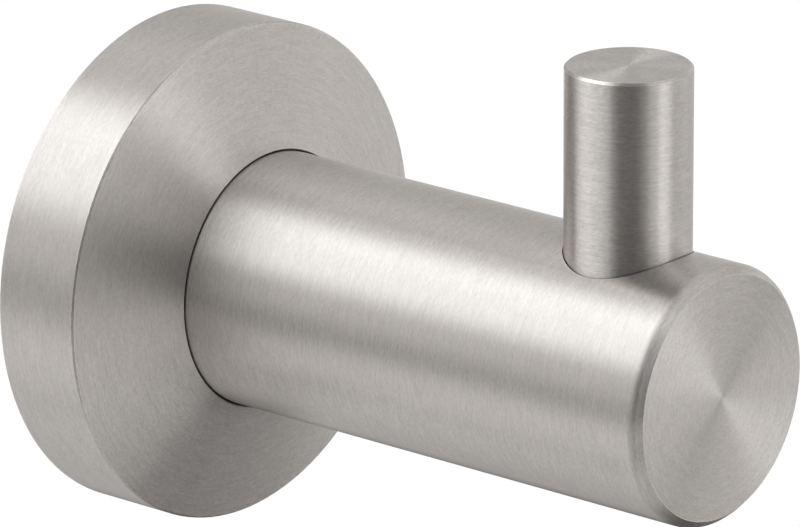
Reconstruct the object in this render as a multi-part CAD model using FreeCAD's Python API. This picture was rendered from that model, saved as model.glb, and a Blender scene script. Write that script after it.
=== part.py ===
import FreeCAD, Part
import math
import os

from FreeCAD import Vector

# A round wall hook in brushed stainless steel. A thick horizontal post stands out of a turned
# rosette with a conical front, and a thin upright peg stands in the post near its free end.
# Lengths are millimetres. The origin is the centre of the rosette's back face, on the wall.
# The post runs out along -Y, +Z is up, and a distance from the wall is measured along -Y.

# Post, a solid bar
POST_DIAMETER = 25.0
PROJECTION = 68.3
POST_FACE_CHAMFER = 0.8
POST_FACE_SOFTENING = 1.0
POST_REAR_CHAMFER = 0.4

# Peg, a solid bar that stands in the post
PEG_DIAMETER = 12.0
PEG_FROM_END = 11.2
PEG_STANDOUT = 17.4
PEG_SEAT_DEPTH = 7.5
PEG_TOP_CHAMFER = 0.22
PEG_FOOT_CHAMFER = 0.3
PEG_FIT = 0.1

# Rosette, a turned cover with a conical front
ROSETTE_DIAMETER = 49.0
RIM_DEPTH = 9.6
CONE_RISE = 3.7
RIM_WALL = 3.5
WEB_THICKNESS = 3.3
RIM_FRONT_CHAMFER = 0.15
RIM_BACK_CHAMFER = 0.3
MOUTH_CHAMFER = 0.15
POST_FIT = 0.1

# Wall plate, a turned disc inside the rosette
PLATE_THICKNESS = 6.0
PLATE_FIT = 0.2
PLATE_FRONT_GAP = 1.0
PLATE_EDGE = 0.4
PLATE_BORE = 14.0
WALL_SCREW_HOLE = 4.6
WALL_SCREW_HEAD = 9.2
WALL_SCREW_PITCH = 29.0
GROOVE_DEPTH = 1.8
GROOVE_FROM_WALL = 3.4

# Grub screw under the rim, which pulls the rosette on to the wall plate
GRUB_DIAMETER = 4.0
GRUB_TIP_DIAMETER = 0.6
GRUB_RECESS = 0.4
GRUB_SOCKET = 2.0
GRUB_SOCKET_DEPTH = 1.8
GRUB_MOUTH_CHAMFER = 0.25
GRUB_SEAT_GAP = 0.02

# Screw and split washer that hold the post to the rosette from behind
SCREW_DIAMETER = 6.0
SCREW_LENGTH = 18.0
SCREW_HEAD_DIAMETER = 10.0
SCREW_HEAD_HEIGHT = 4.0
SCREW_HEAD_CHAMFER = 0.5
SCREW_SOCKET = 4.0
SCREW_SOCKET_DEPTH = 2.4
SCREW_HOLE_CLEARANCE = 0.3
WASHER_WIDTH = 2.5
WASHER_THICKNESS = 1.6
WASHER_CLEARANCE = 0.15
WASHER_SPLIT = 0.9
WASHER_SPLIT_LEAN = 20.0

# Pin that keeps the peg upright above the grub screw
PIN_DIAMETER = 3.0
PIN_FROM_SIDE = 3.9
PIN_IN_POST = 4.0
PIN_RECESS = 0.3
PIN_CHAMFER = 0.3
PIN_FIT = 0.01

# Headless stud between the peg and the post
STUD_DIAMETER = 6.0
STUD_IN_POST = 8.0
STUD_IN_PEG = 8.0
STUD_SOCKET = 3.0
STUD_SOCKET_DEPTH = 3.0

# Holes and threads
THREAD_FIT = 0.05
THREAD_END_CHAMFER = 0.5
TAPPED_RUN_OUT = 1.5
DRILL_POINT_ANGLE = 118.0
COUNTERSINK_ANGLE = 90.0
CUT_MARGIN = 1.0

# Places that follow from the sizes above
post_radius = POST_DIAMETER / 2
peg_radius = PEG_DIAMETER / 2
rosette_radius = ROSETTE_DIAMETER / 2
cavity_radius = rosette_radius - RIM_WALL
cavity_depth = PLATE_THICKNESS + PLATE_FRONT_GAP
post_seat = cavity_depth + WEB_THICKNESS
plate_radius = cavity_radius - PLATE_FIT
groove_root_radius = plate_radius - GROOVE_DEPTH
screw_radius = SCREW_DIAMETER / 2
screw_hole_radius = screw_radius + SCREW_HOLE_CLEARANCE
screw_head_seat = cavity_depth - WASHER_THICKNESS
screw_reach = SCREW_LENGTH - WASHER_THICKNESS - WEB_THICKNESS
pin_radius = PIN_DIAMETER / 2
pin_height = PIN_FROM_SIDE - post_radius
stud_radius = STUD_DIAMETER / 2
peg_top = post_radius + PEG_STANDOUT
peg_seat = post_radius - PEG_SEAT_DEPTH
peg_from_wall = PROJECTION - PEG_FROM_END

OUTWARD = Vector(0, -1, 0)
WALLWARD = Vector(0, 1, 0)
UP = Vector(0, 0, 1)
DOWN = Vector(0, 0, -1)
WHOLE_TURN = 360


def rounding(before, corner, after, radius):
    """Start, middle and end of the arc that rounds a corner of an outline."""
    back = (before - corner).normalize()
    ahead = (after - corner).normalize()
    half_angle = back.getAngle(ahead) / 2
    reach = radius / math.tan(half_angle)
    bisector = (back + ahead).normalize()
    middle = corner + bisector * (radius / math.sin(half_angle) - radius)
    return corner + back * reach, middle, corner + ahead * reach


def turned(profile):
    """Solid of revolution about +Z from corners (radius, height) or (radius, height, rounding)."""
    corners = [Vector(corner[0], 0, corner[1]) for corner in profile]
    arrivals = []
    departures = []
    edges = []
    for place, corner in enumerate(profile):
        arrive = leave = corners[place]
        if len(corner) == 3:
            after = corners[(place + 1) % len(corners)]
            arrive, middle, leave = rounding(corners[place - 1], corners[place], after, corner[2])
            edges.append(Part.Arc(arrive, middle, leave).toShape())
        arrivals.append(arrive)
        departures.append(leave)
    for place, leave in enumerate(departures):
        arrive = arrivals[(place + 1) % len(arrivals)]
        edges.append(Part.makeLine(leave, arrive))
    outline = Part.Wire(Part.sortEdges(edges)[0])
    return Part.Face(outline).revolve(Vector(0, 0, 0), UP, WHOLE_TURN)


def bar(radius, length, start_chamfer, end_chamfer):
    """Round bar from height 0 to its length, chamfered at both ends."""
    return turned(
        [
            (0, 0),
            (radius - start_chamfer, 0),
            (radius, start_chamfer),
            (radius, length - end_chamfer),
            (radius - end_chamfer, length),
            (0, length),
        ]
    )


def drilling(radius, depth):
    """Cutter for a blind drilled hole that enters at height 0 and goes up."""
    point = radius / math.tan(math.radians(DRILL_POINT_ANGLE / 2))
    return turned(
        [
            (0, -CUT_MARGIN),
            (radius, -CUT_MARGIN),
            (radius, depth),
            (0, depth + point),
        ]
    )


def countersink(hole_radius, head_radius):
    """Cutter for a screw head that enters at height 0 and narrows upwards to the hole."""
    slope = math.tan(math.radians(COUNTERSINK_ANGLE / 2))
    return turned(
        [
            (0, -CUT_MARGIN),
            (head_radius, -CUT_MARGIN),
            (head_radius, 0),
            (hole_radius, (head_radius - hole_radius) / slope),
            (0, (head_radius - hole_radius) / slope),
        ]
    )


def hex_socket(across_flats, depth):
    """Cutter for a hexagon socket that enters at height 0 and goes up, with a drilled bottom."""
    corner = across_flats / 2 / math.cos(math.pi / 6)
    angles = [math.radians(60 * step) for step in range(6)]
    corners = [Vector(corner * math.cos(a), corner * math.sin(a), -CUT_MARGIN) for a in angles]
    hexagon = Part.Face(Part.makePolygon(corners + corners[:1]))
    prism = hexagon.extrude(Vector(0, 0, depth + CUT_MARGIN))
    return prism.fuse(drilling(across_flats / 2, depth))


def placed(shape, base, direction):
    """Copy of a shape built along +Z, moved to its base and turned to point in a direction."""
    copy = shape.copy()
    copy.Placement = FreeCAD.Placement(base, FreeCAD.Rotation(UP, direction))
    return copy


def from_wall(distance, x=0.0, z=0.0):
    """Point at a distance from the wall."""
    return Vector(x, -distance, z)


def make_rosette():
    """Turned cover: a cylindrical rim, a conical front, a seat for the post and a hollow back."""
    bore = post_radius + POST_FIT
    slope = CONE_RISE / (rosette_radius - post_radius)

    def cone_height(radius):
        return RIM_DEPTH + (rosette_radius - radius) * slope

    shoulder = rosette_radius - RIM_FRONT_CHAMFER
    mouth = bore + MOUTH_CHAMFER
    body = turned(
        [
            (cavity_radius, 0),
            (rosette_radius - RIM_BACK_CHAMFER, 0),
            (rosette_radius, RIM_BACK_CHAMFER),
            (rosette_radius, RIM_DEPTH - RIM_FRONT_CHAMFER),
            (shoulder, cone_height(shoulder)),
            (mouth, cone_height(mouth)),
            (bore, cone_height(mouth) - MOUTH_CHAMFER),
            (bore, post_seat),
            (screw_hole_radius, post_seat),
            (screw_hole_radius, cavity_depth),
            (cavity_radius, cavity_depth),
        ]
    )
    body = placed(body, from_wall(0), OUTWARD)
    pin_hole = Part.makeCylinder(pin_radius + PIN_FIT, WEB_THICKNESS + 2 * CUT_MARGIN)
    pin_hole = placed(pin_hole, from_wall(cavity_depth - CUT_MARGIN, z=pin_height), OUTWARD)
    grub_hole = Part.makeCylinder(
        GRUB_DIAMETER / 2 + THREAD_FIT,
        rosette_radius - groove_root_radius + CUT_MARGIN,
    )
    grub_hole = placed(grub_hole, from_wall(GROOVE_FROM_WALL, z=-groove_root_radius), DOWN)
    mouth_radius = GRUB_DIAMETER / 2 + THREAD_FIT
    grub_mouth = countersink(mouth_radius, mouth_radius + GRUB_MOUTH_CHAMFER)
    grub_mouth = placed(grub_mouth, from_wall(GROOVE_FROM_WALL, z=-rosette_radius), UP)
    return body.cut(pin_hole).cut(grub_hole).cut(grub_mouth)


def make_post():
    """Solid bar with its edge broken at the front, drilled behind, and bored for the peg."""
    length = PROJECTION - post_seat
    body = turned(
        [
            (0, 0),
            (post_radius - POST_REAR_CHAMFER, 0),
            (post_radius, POST_REAR_CHAMFER),
            (post_radius, length - POST_FACE_CHAMFER, POST_FACE_SOFTENING),
            (post_radius - POST_FACE_CHAMFER, length),
            (0, length),
        ]
    )
    body = placed(body, from_wall(post_seat), OUTWARD)
    screw_hole = drilling(screw_radius + THREAD_FIT, screw_reach + TAPPED_RUN_OUT)
    screw_hole = placed(screw_hole, from_wall(post_seat), OUTWARD)
    pin_hole = drilling(pin_radius + PIN_FIT, PIN_IN_POST + PIN_RECESS)
    pin_hole = placed(pin_hole, from_wall(post_seat, z=pin_height), OUTWARD)
    peg_bore = Part.makeCylinder(peg_radius + PEG_FIT, PEG_SEAT_DEPTH + CUT_MARGIN)
    peg_bore = placed(peg_bore, from_wall(peg_from_wall, z=peg_seat), UP)
    stud_hole = drilling(stud_radius + THREAD_FIT, STUD_IN_POST + TAPPED_RUN_OUT)
    stud_hole = placed(stud_hole, from_wall(peg_from_wall, z=peg_seat), DOWN)
    return body.cut(screw_hole).cut(pin_hole).cut(peg_bore).cut(stud_hole)


def make_peg():
    """Solid bar with a chamfered top, tapped from below for its stud."""
    body = bar(peg_radius, peg_top - peg_seat, PEG_FOOT_CHAMFER, PEG_TOP_CHAMFER)
    body = body.cut(drilling(stud_radius + THREAD_FIT, STUD_IN_PEG + TAPPED_RUN_OUT))
    return placed(body, from_wall(peg_from_wall, z=peg_seat), UP)


def make_peg_stud():
    """Headless screw, half in the post and half in the peg, with a socket at its top."""
    length = STUD_IN_POST + STUD_IN_PEG
    body = bar(stud_radius, length, THREAD_END_CHAMFER, THREAD_END_CHAMFER)
    body = body.cut(placed(hex_socket(STUD_SOCKET, STUD_SOCKET_DEPTH), Vector(0, 0, length), DOWN))
    return placed(body, from_wall(peg_from_wall, z=peg_seat - STUD_IN_POST), UP)


def make_post_screw():
    """Low-head socket screw that enters the post from the rosette's hollow back."""
    head_radius = SCREW_HEAD_DIAMETER / 2
    tip = SCREW_HEAD_HEIGHT + SCREW_LENGTH
    body = turned(
        [
            (0, 0),
            (head_radius - SCREW_HEAD_CHAMFER, 0),
            (head_radius, SCREW_HEAD_CHAMFER),
            (head_radius, SCREW_HEAD_HEIGHT),
            (screw_radius, SCREW_HEAD_HEIGHT),
            (screw_radius, tip - THREAD_END_CHAMFER),
            (screw_radius - THREAD_END_CHAMFER, tip),
            (0, tip),
        ]
    )
    body = body.cut(hex_socket(SCREW_SOCKET, SCREW_SOCKET_DEPTH))
    return placed(body, from_wall(screw_head_seat - SCREW_HEAD_HEIGHT), OUTWARD)


def make_lock_washer():
    """Split spring washer, pressed flat between the screw head and the rosette."""
    inner = screw_radius + WASHER_CLEARANCE
    outer = inner + WASHER_WIDTH
    ring = turned([(inner, 0), (outer, 0), (outer, WASHER_THICKNESS), (inner, WASHER_THICKNESS)])
    height = WASHER_THICKNESS + 2 * CUT_MARGIN
    corner = Vector(0, -WASHER_SPLIT / 2, -height / 2)
    split = Part.makeBox(outer + CUT_MARGIN, WASHER_SPLIT, height, corner)
    split.rotate(Vector(0, 0, 0), Vector(1, 0, 0), WASHER_SPLIT_LEAN)
    split.translate(Vector(0, 0, WASHER_THICKNESS / 2))
    return placed(ring.cut(split), from_wall(screw_head_seat), OUTWARD)


def make_locating_pin():
    """Dowel through the rosette's web into the back of the post."""
    length = WEB_THICKNESS - PIN_RECESS + PIN_IN_POST
    body = bar(pin_radius, length, PIN_CHAMFER, PIN_CHAMFER)
    return placed(body, from_wall(cavity_depth + PIN_RECESS, z=pin_height), OUTWARD)


def make_wall_plate():
    """Disc that is screwed to the wall, with a V groove round its edge for the grub screw."""
    body = turned(
        [
            (PLATE_BORE / 2, 0),
            (plate_radius, 0),
            (plate_radius, GROOVE_FROM_WALL - GROOVE_DEPTH),
            (groove_root_radius, GROOVE_FROM_WALL),
            (plate_radius, GROOVE_FROM_WALL + GROOVE_DEPTH),
            (plate_radius, PLATE_THICKNESS - PLATE_EDGE),
            (plate_radius - PLATE_EDGE, PLATE_THICKNESS),
            (PLATE_BORE / 2, PLATE_THICKNESS),
        ]
    )
    body = placed(body, from_wall(0), OUTWARD)
    hole = Part.makeCylinder(WALL_SCREW_HOLE / 2, PLATE_THICKNESS + 2 * CUT_MARGIN)
    head = countersink(WALL_SCREW_HOLE / 2, WALL_SCREW_HEAD / 2)
    for side in (-1, 1):
        x = side * WALL_SCREW_PITCH / 2
        body = body.cut(placed(hole, from_wall(-CUT_MARGIN, x=x), OUTWARD))
        body = body.cut(placed(head, from_wall(PLATE_THICKNESS, x=x), WALLWARD))
    return body


def make_grub_screw():
    """Cone-point socket screw through the underside of the rim into the plate's V groove."""
    radius = GRUB_DIAMETER / 2
    tip_radius = GRUB_TIP_DIAMETER / 2
    tip = groove_root_radius + GRUB_SEAT_GAP + tip_radius
    length = rosette_radius - GRUB_RECESS - tip
    body = turned(
        [
            (0, 0),
            (tip_radius, 0),
            (radius, radius - tip_radius),
            (radius, length),
            (0, length),
        ]
    )
    body = body.cut(placed(hex_socket(GRUB_SOCKET, GRUB_SOCKET_DEPTH), Vector(0, 0, length), DOWN))
    return placed(body, from_wall(GROOVE_FROM_WALL, z=-tip), DOWN)


PIECES = {
    "rosette": make_rosette,
    "post": make_post,
    "peg": make_peg,
    "peg_stud": make_peg_stud,
    "post_screw": make_post_screw,
    "lock_washer": make_lock_washer,
    "locating_pin": make_locating_pin,
    "wall_plate": make_wall_plate,
    "grub_screw": make_grub_screw,
}


def main():
    os.makedirs("parts", exist_ok=True)
    for name, make in PIECES.items():
        shape = make()
        shape.exportStep(f"parts/{name}.step")
        print(name, shape.isValid(), len(shape.Solids), round(shape.Volume, 2))


main()
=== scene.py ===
# The wall hook in its studio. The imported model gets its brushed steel, a floor, light and a camera.
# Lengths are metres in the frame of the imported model: the wall is the plane y = 0, the post runs
# out along -Y, and +Z is up. Angles are degrees.

import math

import bpy
from mathutils import Matrix, Vector


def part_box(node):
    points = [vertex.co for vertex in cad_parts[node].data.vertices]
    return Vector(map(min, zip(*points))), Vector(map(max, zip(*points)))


MM = 0.001
WHITE = (1.0, 1.0, 1.0, 1.0)

# Camera, at the viewing angle of the photograph. The azimuth is counted from straight in front of
# the hook towards +X, and the elevation from the horizon up. Sensor and lens are millimetres.
VIEW_AZIMUTH = -49.624
VIEW_ELEVATION = 18.262
VIEW_ROLL = -0.234
VIEW_DISTANCE = 756.764 * MM
VIEW_AIM = Vector((3.076, -26.803, 3.561)) * MM
SENSOR_WIDTH = 36.0
LENS = 356.802

# Floor, and how bright the camera sees it and what is behind it
FLOOR_DROP = 1700 * MM
FLOOR_SIDE = 12.0
BACKDROP = 1.02

# Axis that each piece is turned and brushed round
TURNED_ROUND = {
    "rosette": "Y",
    "post": "Y",
    "peg": "Z",
    "peg_stud": "Z",
    "post_screw": "Y",
    "lock_washer": "Y",
    "locating_pin": "Y",
    "wall_plate": "Y",
    "grub_screw": "Z",
}

# Steel: the share of light that it reflects, its tint at grazing angles, how matt it is and how
# much the brushing changes that
STEEL = (0.614, 0.58, 0.551)
EDGE_TINT = (0.85, 0.85, 0.85, 1.0)
ROUGHNESS = 0.37
ROUGHNESS_SPREAD = 0.12

# How much smoother the peg's top is than its side. A face eases from side to top while the
# cosine between its direction and the axis goes from the first of these to the second.
PEG_TOP_SMOOTHING = 0.08
END_FACE_COSINES = (0.9, 0.99)

# How strongly the brushing draws out the reflections, and the quarter turn that lays them across it
ANISOTROPY = 0.96
ANISOTROPY_TURN = 0.25

# Brushing: how far apart and how long the fine and the long lines are, how finely each is broken
# up, how much the fine ones count, the noise that makes the darkest and the lightest line, and how
# much the lines vary in colour and in depth. The smallest radius keeps the angle round the axis
# defined on the axis itself.
FINE_SPACING = 0.14 * MM
FINE_LENGTH = 0.45 * MM
FINE_DETAIL = 3.0
FINE_SHARE = 0.7
LONG_SPACING = 0.25 * MM
LONG_LENGTH = 2.5 * MM
LONG_DETAIL = 1.0
DETAIL_FADING = 0.6
DARK_LINE = 0.3
LIGHT_LINE = 0.7
CONTRAST = 0.19
LINE_DEPTH = 0.01 * MM
SMALLEST_RADIUS = 0.01 * MM

# Steps through the noise, so that no two pieces and no two kinds of line share their pattern
PIECE_STEP = 2.9
LONG_STEP = 7.3

# Wear and painted light: the edges are rubbed smoother and get a painted highlight, and the seams get
# painted shade
EDGE_WIDTH = 0.12 * MM
EDGE_COSINE = 0.93
EDGE_HIGHLIGHT_GAIN = 0.25
EDGE_SMOOTHING = 0.12
SEAM_REACH = 0.3 * MM
SEAM_OPENNESS = (0.3, 0.8)
SEAM_SHADE = 0.3
EDGE_AND_SEAM_SAMPLES = 4

# Light of the white tent, and its panels. A panel lies between two angles round its axis, counted
# from +X towards +Y round the upright Z and towards +Z round the lengthwise Y, and between two
# angles of height towards that axis. Then come the softness of its edge and the light that it
# adds, or takes away where it is below zero. The sum never falls below the darkest light.
TENT = 0.64
PANELS = {
    "key softbox": ("Y", (100, 150), (7, 50), 14, 2.3),
    "key shoulder": ("Y", (64, 112), (10, 55), 14, 0.36),
    "key spill": ("Y", (145, 180), (10, 60), 12, 0.55),
    "left fill": ("Y", (206, 238), (30, 70), 6, 0.62),
    "high front": ("Y", (90, 138), (-60, -25), 10, 0.3),
    "under": ("Y", (275, 320), (-10, 40), 12, -0.18),
    "behind": ("Y", (255, 335), (58, 85), 12, 0.65),
    "dark front": ("Z", (190, 253), (-11, 50), 6, -2.2),
    "dark above": ("Z", (170, 290), (62, 92), 8, -0.5),
    "dark low": ("Z", (196, 240), (-45, -12), 8, -0.4),
    "low front": ("Z", (250, 285), (-32, -12), 6, 0.36),
    "front softbox": ("Z", (273, 298), (-13, 24), 6, 1.4),
    "front right": ("Z", (300, 348), (-24, 8), 10, 0.36),
    "low back": ("Z", (50, 100), (-45, -15), 8, 1.15),
    "dark floor": ("Z", (295, 352), (-70, -28), 10, -0.62),
    "dark side": ("Z", (350, 396), (-65, -28), 12, -0.55),
    "near right": ("Z", (350, 400), (-15, 15), 12, 0.29),
    "high right": ("Z", (270, 420), (40, 80), 14, 0.15),
    "dim back": ("Z", (80, 125), (0, 25), 10, -0.29),
}
DARKEST = 0.08

# Colour of the brightest light, and the range of brightness over which the white turns into it
BRIGHT_COLOUR = (0.97, 1.0, 1.02, 1.0)
COLOUR_RANGE = (0.7, 2.9)


def link(tree, source, target):
    """Joins an output of a node to an input of another."""
    tree.links.new(source, target)


def math_node(tree, operation, *values):
    """Math node fed with numbers or sockets; returns its output."""
    node = tree.nodes.new("ShaderNodeMath")
    node.operation = operation
    for place, value in enumerate(values):
        if isinstance(value, (int, float)):
            node.inputs[place].default_value = value
        else:
            link(tree, value, node.inputs[place])
    return node.outputs[0]


def map_range(tree, value, start, end, low, high, easing):
    """Map Range node that goes from low to high while the value goes from start to end."""
    node = tree.nodes.new("ShaderNodeMapRange")
    node.interpolation_type = easing
    link(tree, value, node.inputs["Value"])
    for name, number in zip(("From Min", "From Max", "To Min", "To Max"), (start, end, low, high)):
        node.inputs[name].default_value = number
    return node.outputs["Result"]


def smooth_step(tree, value, start, end, low=0.0, high=1.0):
    """Eases from low to high while the value goes from start to end."""
    return map_range(tree, value, start, end, low, high, "SMOOTHSTEP")


def dot_product(tree, first, second):
    """Cosine between two directions, of which the second may be fixed."""
    node = tree.nodes.new("ShaderNodeVectorMath")
    node.operation = "DOT_PRODUCT"
    link(tree, first, node.inputs[0])
    if isinstance(second, Vector):
        node.inputs[1].default_value = second
    else:
        link(tree, second, node.inputs[1])
    return node.outputs["Value"]


def turned_coordinates(tree, axis, centre):
    """Distance from the axis, place along it, and the cosine and sine of the angle round it."""
    coordinates = tree.nodes.new("ShaderNodeTexCoord")
    shift = tree.nodes.new("ShaderNodeVectorMath")
    shift.operation = "SUBTRACT"
    shift.inputs[1].default_value = centre
    link(tree, coordinates.outputs["Object"], shift.inputs[0])
    split = tree.nodes.new("ShaderNodeSeparateXYZ")
    link(tree, shift.outputs[0], split.inputs[0])
    across = split.outputs["X"]
    if axis == "Y":
        lengthwise, other = split.outputs["Y"], split.outputs["Z"]
    else:
        lengthwise, other = split.outputs["Z"], split.outputs["Y"]
    across_squared = math_node(tree, "MULTIPLY", across, across)
    other_squared = math_node(tree, "MULTIPLY", other, other)
    squares = math_node(tree, "ADD", across_squared, other_squared)
    radius = math_node(tree, "MAXIMUM", math_node(tree, "SQRT", squares), SMALLEST_RADIUS)
    cosine = math_node(tree, "DIVIDE", across, radius)
    sine = math_node(tree, "DIVIDE", other, radius)
    return radius, lengthwise, cosine, sine


def grooves(tree, turned, spacing, turns, detail, offset):
    """Noise drawn out into fine rings round the axis, a spacing apart, broken up round the turn."""
    radius, lengthwise, cosine, sine = turned
    place = tree.nodes.new("ShaderNodeCombineXYZ")
    link(tree, math_node(tree, "MULTIPLY_ADD", radius, 1 / spacing, offset), place.inputs[0])
    link(tree, math_node(tree, "MULTIPLY", lengthwise, 1 / spacing), place.inputs[1])
    link(tree, math_node(tree, "MULTIPLY", cosine, turns), place.inputs[2])
    noise = tree.nodes.new("ShaderNodeTexNoise")
    noise.noise_dimensions = "4D"
    noise.inputs["Scale"].default_value = 1.0
    noise.inputs["Detail"].default_value = detail
    noise.inputs["Roughness"].default_value = DETAIL_FADING
    link(tree, place.outputs[0], noise.inputs["Vector"])
    link(tree, math_node(tree, "MULTIPLY", sine, turns), noise.inputs["W"])
    return noise.outputs["Fac"]


def worn_and_highlighted_edges(tree):
    """One on an edge of the piece, zero away from it. It rubs the edge smoother and paints a
    highlight on it.
    """
    rounded = tree.nodes.new("ShaderNodeBevel")
    rounded.samples = EDGE_AND_SEAM_SAMPLES
    rounded.inputs["Radius"].default_value = EDGE_WIDTH
    geometry = tree.nodes.new("ShaderNodeNewGeometry")
    match = dot_product(tree, rounded.outputs[0], geometry.outputs["Normal"])
    return smooth_step(tree, match, 1.0, EDGE_COSINE)


def seam_shade(tree):
    """Share of the steel's colour that is left by painted shade close to another surface."""
    openness = tree.nodes.new("ShaderNodeAmbientOcclusion")
    openness.samples = EDGE_AND_SEAM_SAMPLES
    openness.inputs["Distance"].default_value = SEAM_REACH
    closed, clear = SEAM_OPENNESS
    return smooth_step(tree, openness.outputs["AO"], closed, clear, SEAM_SHADE, 1.0)


def end_faces(tree, axis):
    """One on the faces square to the axis, zero on the sides."""
    geometry = tree.nodes.new("ShaderNodeNewGeometry")
    split = tree.nodes.new("ShaderNodeSeparateXYZ")
    link(tree, geometry.outputs["Normal"], split.inputs[0])
    return smooth_step(tree, math_node(tree, "ABSOLUTE", split.outputs[axis]), *END_FACE_COSINES)


def steel_colour(tree, fine, long, edge):
    """Steel's colour, lighter and darker along the lines, with a painted highlight on edges and
    painted shade in seams.
    """
    fine_part = math_node(tree, "MULTIPLY", fine, FINE_SHARE)
    brushing = math_node(tree, "MULTIPLY_ADD", long, 1 - FINE_SHARE, fine_part)
    darkest, lightest = 1 - CONTRAST, 1 + CONTRAST
    lines = map_range(tree, brushing, DARK_LINE, LIGHT_LINE, darkest, lightest, "LINEAR")
    # Painted highlight: the colour is made brighter on the edges
    gain = math_node(tree, "MULTIPLY_ADD", edge, EDGE_HIGHLIGHT_GAIN, 1.0)
    # Painted shade: the colour is darkened close to other surfaces
    shading = math_node(tree, "MULTIPLY", lines, seam_shade(tree))
    tone = tree.nodes.new("ShaderNodeVectorMath")
    tone.operation = "SCALE"
    tone.inputs[0].default_value = STEEL
    link(tree, math_node(tree, "MULTIPLY", shading, gain), tone.inputs["Scale"])
    return tone.outputs[0]


def steel_roughness(tree, fine, edge, axis, end_smoothing):
    """Roughness that follows the fine lines, less on rubbed edges and on smoother end faces."""
    matt = math_node(tree, "MULTIPLY_ADD", fine, ROUGHNESS_SPREAD, ROUGHNESS - ROUGHNESS_SPREAD / 2)
    if end_smoothing:
        matt = math_node(tree, "MULTIPLY_ADD", end_faces(tree, axis), -end_smoothing, matt)
    return math_node(tree, "MULTIPLY_ADD", edge, -EDGE_SMOOTHING, matt)


def steel_normal(tree, fine):
    """Surface direction with the fine lines pressed in."""
    bump = tree.nodes.new("ShaderNodeBump")
    bump.inputs["Strength"].default_value = 1.0
    bump.inputs["Distance"].default_value = LINE_DEPTH
    link(tree, fine, bump.inputs["Height"])
    return bump.outputs[0]


def steel_tangent(tree, axis):
    """Direction of the brushing, round the axis."""
    tangent = tree.nodes.new("ShaderNodeTangent")
    tangent.direction_type = "RADIAL"
    tangent.axis = axis
    return tangent.outputs[0]


def brushed_steel(name, axis, radius, centre, end_smoothing, offset):
    """Stainless steel with fine rings of brushing round an axis."""
    material = bpy.data.materials.new(name)
    material.use_nodes = True
    tree = material.node_tree
    tree.nodes.clear()
    output = tree.nodes.new("ShaderNodeOutputMaterial")
    steel = tree.nodes.new("ShaderNodeBsdfPrincipled")
    link(tree, steel.outputs[0], output.inputs["Surface"])
    steel.inputs["Metallic"].default_value = 1.0
    steel.inputs["Anisotropic"].default_value = ANISOTROPY
    steel.inputs["Anisotropic Rotation"].default_value = ANISOTROPY_TURN
    steel.inputs["Specular Tint"].default_value = EDGE_TINT

    turned = turned_coordinates(tree, axis, centre)
    fine = grooves(tree, turned, FINE_SPACING, radius / FINE_LENGTH, FINE_DETAIL, offset)
    long = grooves(tree, turned, LONG_SPACING, radius / LONG_LENGTH, LONG_DETAIL, offset + LONG_STEP)
    edge = worn_and_highlighted_edges(tree)
    link(tree, steel_colour(tree, fine, long, edge), steel.inputs["Base Color"])
    link(tree, steel_roughness(tree, fine, edge, axis, end_smoothing), steel.inputs["Roughness"])
    link(tree, steel_normal(tree, fine), steel.inputs["Normal"])
    link(tree, steel_tangent(tree, axis), steel.inputs["Tangent"])
    return material


def middle_and_radius(node, axis):
    """Middle of a round piece, level with the origin along its axis, and its radius."""
    low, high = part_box(node)
    middle = (low + high) / 2
    radius = (high.x - low.x) / 2
    if axis == "Y":
        return (middle.x, 0, middle.z), radius
    return (middle.x, middle.y, 0), radius


def dress_nodes(nodes):
    """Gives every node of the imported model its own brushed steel."""
    for place, (name, axis) in enumerate(TURNED_ROUND.items()):
        centre, radius = middle_and_radius(name, axis)
        end_smoothing = PEG_TOP_SMOOTHING if name == "peg" else 0.0
        offset = place * PIECE_STEP
        steel = brushed_steel(name + "_brushed", axis, radius, centre, end_smoothing, offset)
        for slot in nodes[name].material_slots:
            slot.material = steel


def glowing_white():
    """Material that shines as brightly as the backdrop."""
    material = bpy.data.materials.new("floor_white")
    material.use_nodes = True
    tree = material.node_tree
    tree.nodes.clear()
    output = tree.nodes.new("ShaderNodeOutputMaterial")
    glow = tree.nodes.new("ShaderNodeEmission")
    glow.inputs["Color"].default_value = WHITE
    glow.inputs["Strength"].default_value = BACKDROP
    link(tree, glow.outputs[0], output.inputs["Surface"])
    return material


def make_floor():
    """Plain white floor well below the hook, which only the camera sees."""
    half = FLOOR_SIDE / 2
    mesh = bpy.data.meshes.new("floor")
    corners = [(-half, -half, 0), (half, -half, 0), (half, half, 0), (-half, half, 0)]
    mesh.from_pydata(corners, [], [(0, 1, 2, 3)])
    mesh.materials.append(glowing_white())
    floor = bpy.data.objects.new("floor", mesh)
    floor.location = (0, 0, -FLOOR_DROP)
    bpy.context.scene.collection.objects.link(floor)
    floor.visible_glossy = False
    floor.visible_diffuse = False
    floor.visible_shadow = False


def within(tree, angle, middle, reach, softness):
    """One within reach of the middle, zero outside, with a soft edge."""
    off = math_node(tree, "ABSOLUTE", math_node(tree, "SUBTRACT", angle, middle))
    return smooth_step(tree, off, reach + softness, reach - softness)


def panel(tree, way, axis, around, height, softness, strength):
    """Light of one panel of the studio in the way that is looked."""
    middle = math.radians(sum(around) / 2)
    ahead = Vector((math.cos(middle), math.sin(middle), 0))
    beside = Vector((-math.sin(middle), math.cos(middle), 0))
    pole = Vector((0, 0, 1))
    if axis == "Y":
        ahead, beside, pole = (Vector((v.x, v.z, v.y)) for v in (ahead, beside, pole))
    across = dot_product(tree, way, beside)
    turn = math_node(tree, "ARCTAN2", across, dot_product(tree, way, ahead))
    rise = math_node(tree, "ARCSINE", dot_product(tree, way, pole))
    edge = math.radians(softness)
    half_turn = math.radians(around[1] - around[0]) / 2
    half_rise = math.radians(height[1] - height[0]) / 2
    sideways = within(tree, turn, 0.0, half_turn, edge)
    upwards = within(tree, rise, math.radians(sum(height) / 2), half_rise, edge)
    return math_node(tree, "MULTIPLY", math_node(tree, "MULTIPLY", sideways, upwards), strength)


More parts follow.
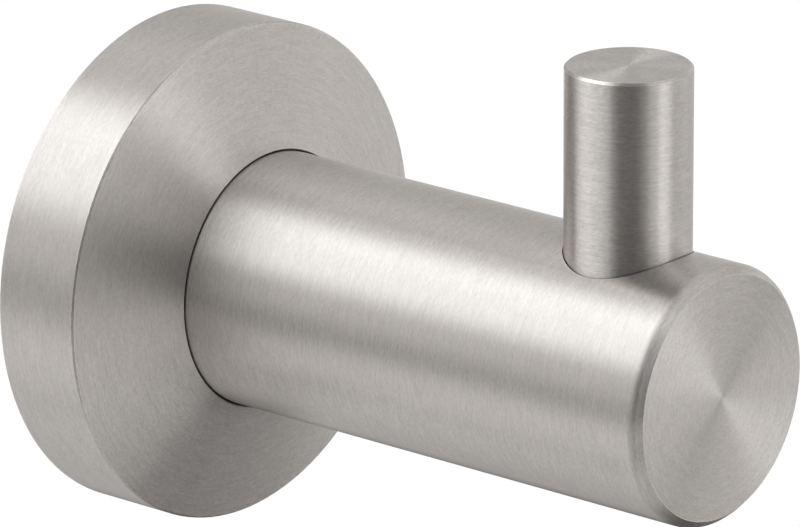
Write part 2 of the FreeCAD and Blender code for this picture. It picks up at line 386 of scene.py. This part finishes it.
def tent_light(tree, way):
    """Brightness of the tent with all its panels in the way that is looked."""
    total = TENT
    for axis, around, height, softness, strength in PANELS.values():
        light = panel(tree, way, axis, around, height, softness, strength)
        total = math_node(tree, "ADD", light, total)
    return math_node(tree, "MAXIMUM", total, DARKEST)


def light_colour(tree, light):
    """White, with a little of the bright colour where the light is strong."""
    colour = tree.nodes.new("ShaderNodeMixRGB")
    link(tree, smooth_step(tree, light, *COLOUR_RANGE), colour.inputs["Fac"])
    colour.inputs["Color1"].default_value = WHITE
    colour.inputs["Color2"].default_value = BRIGHT_COLOUR
    return colour.outputs["Color"]


def make_studio():
    """White tent with brighter and darker panels, which the steel reflects."""
    world = bpy.data.worlds.new("studio")
    bpy.context.scene.world = world
    world.use_nodes = True
    tree = world.node_tree
    tree.nodes.clear()
    output = tree.nodes.new("ShaderNodeOutputWorld")
    way = tree.nodes.new("ShaderNodeTexCoord").outputs["Generated"]
    light = tent_light(tree, way)
    tent = tree.nodes.new("ShaderNodeBackground")
    link(tree, light_colour(tree, light), tent.inputs["Color"])
    link(tree, light, tent.inputs["Strength"])
    plain = tree.nodes.new("ShaderNodeBackground")
    plain.inputs["Color"].default_value = WHITE
    plain.inputs["Strength"].default_value = BACKDROP
    path = tree.nodes.new("ShaderNodeLightPath")
    mix = tree.nodes.new("ShaderNodeMixShader")
    link(tree, path.outputs["Is Camera Ray"], mix.inputs[0])
    link(tree, tent.outputs[0], mix.inputs[1])
    link(tree, plain.outputs[0], mix.inputs[2])
    link(tree, mix.outputs[0], output.inputs["Surface"])


def make_camera():
    """Camera on the line of sight of the photograph."""
    a = math.radians(VIEW_AZIMUTH)
    e = math.radians(VIEW_ELEVATION)
    r = math.radians(VIEW_ROLL)
    back = Vector((math.sin(a) * math.cos(e), -math.cos(a) * math.cos(e), math.sin(e)))
    level = Vector((math.cos(a), math.sin(a), 0))
    upright = back.cross(level)
    right = math.cos(r) * level + math.sin(r) * upright
    up = math.cos(r) * upright - math.sin(r) * level
    data = bpy.data.cameras.new("camera")
    data.sensor_fit = "HORIZONTAL"
    data.sensor_width = SENSOR_WIDTH
    data.lens = LENS
    data.clip_start = VIEW_DISTANCE / 10
    data.clip_end = 10 * FLOOR_SIDE
    camera = bpy.data.objects.new("camera", data)
    turn = Matrix((right, up, back)).transposed()
    camera.matrix_world = Matrix.Translation(VIEW_AIM + back * VIEW_DISTANCE) @ turn.to_4x4()
    bpy.context.scene.collection.objects.link(camera)
    bpy.context.scene.camera = camera


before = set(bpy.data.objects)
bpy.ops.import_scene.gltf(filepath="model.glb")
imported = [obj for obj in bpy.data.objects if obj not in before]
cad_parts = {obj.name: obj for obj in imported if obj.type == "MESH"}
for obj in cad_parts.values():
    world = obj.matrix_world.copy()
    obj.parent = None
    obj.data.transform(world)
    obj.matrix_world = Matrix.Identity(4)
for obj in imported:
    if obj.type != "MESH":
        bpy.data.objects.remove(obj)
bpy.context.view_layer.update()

make_camera()
dress_nodes(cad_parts)
make_floor()
make_studio()
bpy.context.scene.view_settings.view_transform = "Standard"
